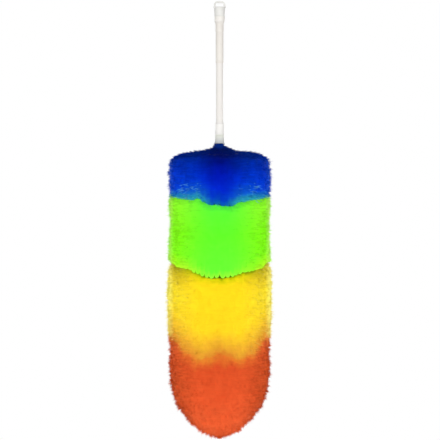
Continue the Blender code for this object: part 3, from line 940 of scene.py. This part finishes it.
def fibre_tree():
    """Geometry nodes that set strands over a surface: each one rises along the way that the
    surface gives, with its tip near the surface, and neighbours lean together in tufts."""
    tree = bpy.data.node_groups.new("fibre_pile", "GeometryNodeTree")
    put = partial(add, tree)
    for kind, names in (
        ("Geometry", ("Surface",)),
        ("Object", ("Strand",)),
        ("Float", ("Spacing", *PILE)),
        ("Int", ("Seed",)),
        ("Material", ("Material",)),
    ):
        for name in names:
            tree.interface.new_socket(name, in_out="INPUT", socket_type=f"NodeSocket{kind}")
    tree.interface.new_socket("Pile", in_out="OUTPUT", socket_type="NodeSocketGeometry")
    given = put("NodeGroupInput").outputs
    place = put("GeometryNodeInputPosition")
    reach, cover, clump, frost, along = (
        put(NAMED, [name]) for name in ("reach", "cover", "clump", "frost", "along")
    )
    way, inside = (put(NAMED, [name], data_type=VECTOR) for name in ("way", "strand_uv"))
    longer, height, tint, spin, thin, stray, pale = (
        put(RANDOM, {2: least, 3: most, "Seed": seed})
        for seed, (least, most) in enumerate(STRAND_CHANCES, SPREAD_SEED + 1)
    )

    density = put(MATH, (given["Spacing"], -2.0), "POWER")
    points = put(
        "GeometryNodeDistributePointsOnFaces",
        {
            "Mesh": given["Surface"],
            "Distance Min": given["Spacing"],
            "Density Max": put(MATH, (density, DENSITY), "MULTIPLY"),
            "Density Factor": cover,
            "Seed": given["Seed"],
        },
        distribute_method="POISSON",
    )
    outward = points.outputs["Normal"]

    # Which way each strand lies
    spread = put(RANDOM, {0: (-1, -1, -1), 1: (1, 1, 1), "Seed": SPREAD_SEED}, data_type=VECTOR)
    spread = put(VECTOR_MATH, {0: spread, "Scale": given["Spread"]}, "SCALE")
    scale = put(MATH, (1.0, given["Tuft size"]), "DIVIDE")
    lean = put(NOISE, {"Vector": place, "Scale": scale, "Detail": 1.0})
    lean = put(VECTOR_MATH, (lean.outputs["Color"], (0.5, 0.5, 0.5)), "SUBTRACT")
    lean = put(VECTOR_MATH, {0: lean, "Scale": given["Lean"]}, "SCALE")
    lie = put(VECTOR_MATH, (way, spread), "ADD")
    lie = put(VECTOR_MATH, (lie, lean), "ADD")
    lie = put(VECTOR_MATH, [lie], "NORMALIZE")

    # How long it is, and how far its tip stands off the surface
    length = put(MATH, (given["Length"], reach), "MULTIPLY")
    length = put(MATH, (length, longer), "MULTIPLY")
    proud = put(MATH, (height, given["Raggedness"]), "MULTIPLY")
    tuft = put("ShaderNodeTexVoronoi", {"Vector": place, "Scale": scale, "Randomness": 1.0}).outputs
    height = put("ShaderNodeSeparateXYZ", {"Vector": tuft["Color"]})
    height = put(MATH, (height, 0.5), "SUBTRACT")
    height = put(MATH, (height, clump), "MULTIPLY")
    stray = put(MAP_RANGE, (stray, NOT_STRAY))
    further = put(MATH, (given["Stray length"], reach), "MULTIPLY")
    frosted = put(MATH, (pale, frost), "LESS_THAN")
    for share, reached in (
        (height, given["Tuft length"]),
        (stray, further),
        (frosted, given["Stray length"]),
    ):
        proud = put(MATH, (share, reached, proud), "MULTIPLY_ADD")
    back = put(MATH, (proud, length), "SUBTRACT")
    root = put(VECTOR_MATH, {0: lie, "Scale": back}, "SCALE")

    # Tips are drawn together over the middle of their tuft
    draw = put(VECTOR_MATH, (tuft["Position"], place), "SUBTRACT")
    rise = put(VECTOR_MATH, (draw, outward), "PROJECT")
    draw = put(VECTOR_MATH, (draw, rise), "SUBTRACT")
    pull = put(MATH, (clump, given["Tuft pull"]), "MULTIPLY")
    draw = put(VECTOR_MATH, {0: draw, "Scale": pull}, "SCALE")

    kept = points
    for name, kind, value in (
        ("outward", VECTOR, outward),
        ("lie", VECTOR, lie),
        ("length", "FLOAT", length),
        ("root", VECTOR, root),
        ("draw", VECTOR, draw),
        ("stray", "FLOAT", stray),
        ("frosted", "FLOAT", frosted),
        ("strand", "INT", put("GeometryNodeInputIndex")),
        ("tint", "FLOAT", tint),
    ):
        kept = put(STORE, {"Geometry": kept, "Name": name, "Value": value}, data_type=kind)
    lie, root, draw = (put(NAMED, [name], data_type=VECTOR) for name in ("lie", "root", "draw"))
    length = put(NAMED, ["length"])
    strand = put(NAMED, ["strand"], data_type="INT")
    spin = put("FunctionNodeAxisAngleToRotation", {"Axis": (0, 0, 1), "Angle": spin})
    thin = put(MATH, (thin, given["Thickness"]), "MULTIPLY")
    upright = {"Rotation": spin, "Vector": lie}
    pattern = put("GeometryNodeObjectInfo", {"Object": given["Strand"]})
    placed = put(
        "GeometryNodeInstanceOnPoints",
        {
            "Points": put(SET_POSITION, {"Geometry": kept, "Offset": root}),
            "Instance": pattern.outputs["Geometry"],
            "Rotation": put("FunctionNodeAlignRotationToVector", upright, axis="Z"),
            "Scale": put("ShaderNodeCombineXYZ", {"X": thin, "Y": thin, "Z": length}),
        },
    )
    pile = put("GeometryNodeRealizeInstances", {"Geometry": placed})
    tip = put(MATH, (along, 2.0), "POWER")
    pull = put(VECTOR_MATH, {0: draw, "Scale": tip}, "SCALE")
    pile = put(SET_POSITION, {"Geometry": pile, "Offset": pull})

    # Every strand gets its own cell of the texture map
    total = put("GeometryNodeAttributeDomainSize", {"Geometry": kept}, component="POINTCLOUD")
    cells = put(MATH, (total, 0.5), "POWER")
    cells = put(MATH, [cells], "CEIL")
    row = put(MATH, (strand, cells), "DIVIDE")
    row = put(MATH, [row], "FLOOR")
    filled = put(MATH, (row, cells), "MULTIPLY")
    column = put(MATH, (strand, filled), "SUBTRACT")
    cell = put("ShaderNodeCombineXYZ", {"X": column, "Y": row})
    inside = (inside, (1 - 2 * CELL_MARGIN,) * 3, (CELL_MARGIN,) * 3)
    inside = put(VECTOR_MATH, inside, "MULTIPLY_ADD")
    spot = put(VECTOR_MATH, (cell, inside), "ADD")
    share = put(MATH, (1.0, cells), "DIVIDE")
    spot = put(VECTOR_MATH, {0: spot, "Scale": share}, "SCALE")
    values = {"Geometry": pile, "Name": "OFBake", "Value": spot}
    pile = put(STORE, values, data_type="FLOAT2", domain="CORNER")
    for name in "strand_uv lie length root draw way reach cover clump frost strand".split():
        pile = put("GeometryNodeRemoveAttribute", {"Geometry": pile, "Name": name})
    pile = put("GeometryNodeSetShadeSmooth", {"Geometry": pile})
    dressed = {"Geometry": pile, "Material": given["Material"]}
    put("NodeGroupOutput", {"Pile": put("GeometryNodeSetMaterial", dressed)})
    return tree


def patch_of(cell, limits):
    """How strong something is that comes down the band and to the side, and goes further out."""
    _, _, angle, share, _ = cell
    down, comes, goes = limits
    sideways = abs(cos(angle))
    return smooth(share, *down) * smooth(sideways, *comes), smooth(sideways, *goes)


def thin_of(cell):
    """How far the blue has thinned out over the green: a little in a patch on each side of the
    middle, and strongly along the lower edge."""
    patch, gone = patch_of(cell, THIN_PATCH)
    edge, less = patch_of(cell, THIN_EDGE)
    return THIN_PATCH_AMOUNT * (patch * (1 - gone)) + THIN_EDGE_AMOUNT * (
        edge * (1 - THIN_EDGE_LESS * less)
    )


def frost_of(cell):
    """The chance that a strand has lost its dye and stands out pale."""
    patch, gone = patch_of(cell, FROST_PATCH)
    around = (cos(cell[2]), sin(cell[2]), cell[3])
    streak = noise.noise(Vector([part * often for part, often in zip(around, FROST_STREAKS)]))
    return FROST_CHANCE * (patch * (1 - gone)) * smooth(streak, *FROST_SPAN)


def clump_of(cell):
    """How strongly the strands cling together in tufts: least where they were combed flat."""
    return LEAST_TUFTED + (1 - LEAST_TUFTED) * smooth(abs(cos(cell[2])), *TUFTED)


def cover_of(cell, before, after):
    """How much of the full pile a point carries: it thins out where two colours mix."""
    rise = smooth(cell[3], 0, before) if before else 1.0
    fall = 1 - smooth(cell[3], 1 - after, 1) if after else 1.0
    return max(LEAST_COVER, rise * fall)


def make_core(outline, name, band, material):
    """The band's closed undercoat, which shows only between the strands."""
    columns = surface(outline, band, 0, tau, CORE_INSET)[:-1]
    mesh = bmesh.new()
    keys = [mesh.verts.layers.float.new(key) for key in ("share", "along", "tint", "thin")]
    last = len(columns[0]) - 1
    loops = []
    for row, rise in (
        *((row, None) for row in range(last + 1)),
        (0, -CORE_GAP / 2),
        (last, CORE_GAP / 2),
    ):
        loop = []
        for column in columns:
            radius, height, angle, share, _ = column[row]
            along, thin = UNDERCOAT_ALONG, 0.0
            if rise is None:
                radius = max(radius, CORE_BORE + (CORE_GAP if 0 < row < last else 0))
                thin = thin_of(column[row]) if band["node"] == "blue_fibre" else 0.0
            else:
                radius, height, along = CORE_BORE, height + rise, BORE_ALONG
            vertex = mesh.verts.new(point_at(radius, angle, height))
            for key, value in zip(keys, (share, along, MIDDLE_TINT, thin)):
                vertex[key] = value
            loop.append(vertex)
        loops.append(loop)
    *walls, above, below = loops
    for corners in between([above, *walls, below, above]):
        mesh.faces.new(corners)
    fit(link(name, finished(name, mesh), material))


def make_pile(outline, name, band, material, tree, strand):
    """The band's strands, in as many pieces as their number needs."""
    rules = {"share": lambda cell: cell[3], "reach": reach_of, "clump": clump_of}
    rules["cover"] = lambda cell: cover_of(cell, *band["fade"])
    if band["node"] == "blue_fibre":
        rules |= {"thin": thin_of, "frost": frost_of}
    given = {"Strand": strand, "Spacing": STRAND_SPACING}
    given |= PILE | band["pile"] | {"Material": material}
    for part in range(band["parts"]):
        first = tau * (part / band["parts"] - 0.25)
        last = first + tau / band["parts"]
        columns = surface(outline, band, first, last, overlap=band["overlap"])
        piece = link(f"{name}_{part + 1}", grid_mesh(name, columns, rules))
        pile = piece.modifiers.new("pile", "NODES")
        pile.node_group = tree
        given["Seed"] = band["seed"] + part
        for item in tree.interface.items_tree:
            if item.name in given:
                pile[item.identifier] = given[item.name]
        settle(piece)
        fit(piece, band["node"])


# What the bands share, where their own list doesn't say otherwise
FIBRE = {
    "rows": 40,
    "parts": 3,
    "streaks": 0.16,
    "thin": "#000000",
    "frost": "#000000",
    "droop": 0.14,
    "hem_droop": 0.0,
    "hem_cut": 0.0,
    "tip_swell": 0.0,
    "painted_rim_amount": 0.0,
    "pile": {},
}
# Inputs of the pile's tree, besides the spacing
PILE = {
    "Length": STRAND_LENGTH,
    "Thickness": STRAND_THICKNESS,
    "Spread": 0.12,
    "Lean": 0.25,
    "Tuft size": 5.5 * MM,
    "Tuft pull": 0.75,
    "Tuft length": 4.6 * MM,
    "Raggedness": 1.4 * MM,
    "Stray length": 3 * MM,
}
# In each band, "pale" is the colour of the painted light on the ends, and "side" a painted lit and
# shaded copy of "middle" for the head's sides
BANDS = {
    "blue": {
        "swell": (0, -0.5 * MM),
        "rows": 44,
        "hem_droop": 0.3,
        "hem_cut": 0.5,
        "fade": (0, 0.07),
        "parts": 2,
        "turn": (0.0, 0.62),
        # From 0.16 to 0.57 the navy is painted shade under the neck
        "middle": {
            0.0: "#0e3c9e", 0.08: "#0a2c88", 0.16: "#02166c", 0.3: "#041a78", 0.57: "#021284",
            0.7: "#021cbc", 0.85: "#042cd4", 0.93: "#0648c8", 1.0: "#0c66b4",
        },
        "side": {
            0.0: "#082474", 0.2: "#003080", 0.42: "#002890", 0.56: "#002ca2", 0.66: "#0030bc",
            0.78: "#003ad4", 0.9: "#0346dc", 1.0: "#2088b8",
        },
        "thin": "#2ca6bc",
        "frost": "#5cb0ec",
        "pale": "#3c78d8",
        "painted_tip_amount": 0.3,
        "painted_rim_amount": 0.4,
    },
    "green": {
        "swell": (-0.5 * MM, 1.5 * MM),
        "hem_droop": 0.35,
        "hem_cut": 1.0,
        "fade": (0.05, 0),
        "streaks": 0.12,
        "turn": (0.1, 0.9),
        "middle": {
            0.0: "#54e048", 0.1: "#6cf83c", 0.45: "#70f830", 0.9: "#76fe3c", 1.0: "#a8fc40",
        },
        "side": {0.0: "#7cdc28", 0.1: "#98f82c", 0.5: "#88f414", 0.82: "#88f418", 1.0: "#b4f424"},
        "pale": "#ccff70",
        "painted_tip_amount": 0.5,
        "painted_rim_amount": 0.9,
        "pile": {"Tuft pull": 0.5, "Tuft length": 3 * MM},
    },
    "yellow": {
        "swell": (-2.0 * MM, 0),
        "fade": (0, 0.1),
        "streaks": 0.1,
        "turn": (0.34, 0.86),
        # The olive at the top of both rows is a painted shadow under the green's hem
        "middle": {
            0.0: "#a8b400", 0.03: "#e0d810", 0.1: "#f8e020", 0.66: "#fadc26", 0.77: "#f4ce2e",
            0.87: "#ebb934", 0.96: "#e4a436", 1.0: "#e09032",
        },
        "side": {
            0.0: "#a8a018", 0.08: "#d0bc20", 0.2: "#e4cc28", 0.34: "#f0dc2c", 0.58: "#f2d62a",
            0.76: "#ecc030", 1.0: "#dc8830",
        },
        "pale": "#fffc84",
        "painted_tip_amount": 0.9,
        "painted_rim_amount": 0.75,
        "pile": {"Tuft pull": 0.5, "Tuft length": 3 * MM, "Stray length": 4 * MM},
    },
    "orange": {
        "swell": (0, 1.5 * MM),
        "tip_swell": 1.8 * MM,
        "rows": 56,
        "fade": (0.03, 0),
        "parts": 4,
        "turn": (0.3, 1.0),
        "middle": {
            0.0: "#e68e32", 0.045: "#e37430", 0.12: "#e05b2d", 0.5: "#ec6434", 0.85: "#f66c38",
            1.0: "#e05c2c",
        },
        "side": {0.0: "#dc7c30", 0.06: "#d45c2a", 0.18: "#cc5024", 1.0: "#c84c22"},
        "pale": "#f0803c",
        "painted_tip_amount": 0.4,
    },
}


def make_head():
    outline = Outline()
    tree = fibre_tree()
    strand = strand_object()
    for place, (colour, own) in enumerate(BANDS.items()):
        band = FIBRE | own | {
            "node": f"{colour}_fibre",
            "upper": (None, *EDGES)[place],
            "lower": (*EDGES, None)[place],
            "overlap": [share * FADE_LENGTH * MM for share in own["fade"]],
            "seed": BAND_SEED_STEP * place,
        }
        material = dyed_fibre(f"{colour}_polypropylene_fibre", band)
        make_core(outline, f"{colour}_undercoat", band, material)
        make_pile(outline, f"{colour}_pile", band, material, tree, strand)
    bpy.data.objects.remove(strand)


def make_hidden_pieces():
    """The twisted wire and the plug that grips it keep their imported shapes."""
    for node, material in (
        ("wire_stem", galvanised_steel()),
        ("stem_plug", moulded_plastic("plug_polypropylene", (0, "#dcdcd8"))),
    ):
        coat(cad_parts[node].data, material)


def make_stage():
    """A pale floor in matt paint, far below the hanging duster and seen from above only."""
    mesh = bpy.data.meshes.new("floor")
    signs = ((-1, -1), (1, -1), (1, 1), (-1, 1))
    corners = [(x * FLOOR_HALF, y * FLOOR_HALF, FLOOR_HEIGHT) for x, y in signs]
    mesh.from_pydata(corners, [], [(0, 1, 2, 3)])
    material, tree, shader = new_material("pale_floor_paint")
    fill(tree, shader, {"Base Color": linear("#f4f4f4"), "Roughness": 0.7})
    under = add(tree, "ShaderNodeNewGeometry").outputs["Backfacing"]
    both = (under, shader, add(tree, "ShaderNodeBsdfTransparent"))
    both = add(tree, "ShaderNodeMixShader", both)
    fill(tree, tree.nodes["Material Output"], {"Surface": both})
    link("floor", mesh, material)


def make_world():
    """White to the camera and in reflections, and a plain soft light on the duster."""
    world = bpy.data.worlds.new("studio")
    world.use_nodes = True
    tree = world.node_tree
    rays = add(tree, "ShaderNodeLightPath").outputs
    seen = rays["Is Camera Ray"]
    for other in ("Is Transmission Ray", "Is Glossy Ray"):
        seen = add(tree, MATH, (seen, rays[other]), "MAXIMUM")
    strength = add(tree, MAP_RANGE, (seen, 0, 1, WORLD_STRENGTH, 1))
    fill(tree, tree.nodes["Background"], {"Color": (1, 1, 1, 1), "Strength": strength})
    bpy.context.scene.world = world


def add_light(name, kind, place, aim, power, **settings):
    light = bpy.data.lights.new(name, kind)
    light.energy = power
    for key, value in settings.items():
        setattr(light, key, value)
    lamp = link(name, light)
    lamp.location = place
    lamp.rotation_euler = (Vector(aim) - Vector(place)).to_track_quat("-Z", "Y").to_euler()


def make_lights():
    """Two broad lamps before the duster, two behind it, and one at each side of its head."""
    middle = (0, 0, FRAME_MIDDLE)
    head = (0, 0, HEAD_MIDDLE)
    disc = {"shape": "DISK", "size": LAMP_SIZE}
    for side, name in ((-1, "left"), (1, "right")):
        height = LAMP_HEIGHT - LAMP_STAGGER * side
        front, back = ((LAMP_ASIDE * side, away, height) for away in (-LAMP_AWAY, LAMP_AWAY))
        add_light(f"front_{name}", "AREA", front, middle, FRONT_POWER, **disc)
        add_light(f"back_{name}", "AREA", back, middle, BACK_POWER, **disc)
        beside = (SPOT_ASIDE * side, -SPOT_BEFORE, HEAD_MIDDLE)
        add_light(f"head_{name}", "SPOT", beside, head, SPOT_POWER, **SPOT)


def make_camera():
    camera = bpy.data.cameras.new("camera")
    camera.sensor_width = CAMERA_SENSOR
    camera.lens = CAMERA_SENSOR * CAMERA_DISTANCE / FRAME_HEIGHT
    view = link("camera", camera)
    view.location = (FRAME_SHIFT, -CAMERA_DISTANCE, FRAME_MIDDLE)
    view.rotation_euler = (radians(90), 0, 0)
    bpy.context.scene.camera = view


make_end_cap()
make_grip_sleeve()
make_handle_tube()
make_ferrule()
make_neck_collar()
make_head()
make_hidden_pieces()
make_stage()
make_world()
make_lights()
make_camera()
bpy.context.scene.view_settings.view_transform = "Standard"
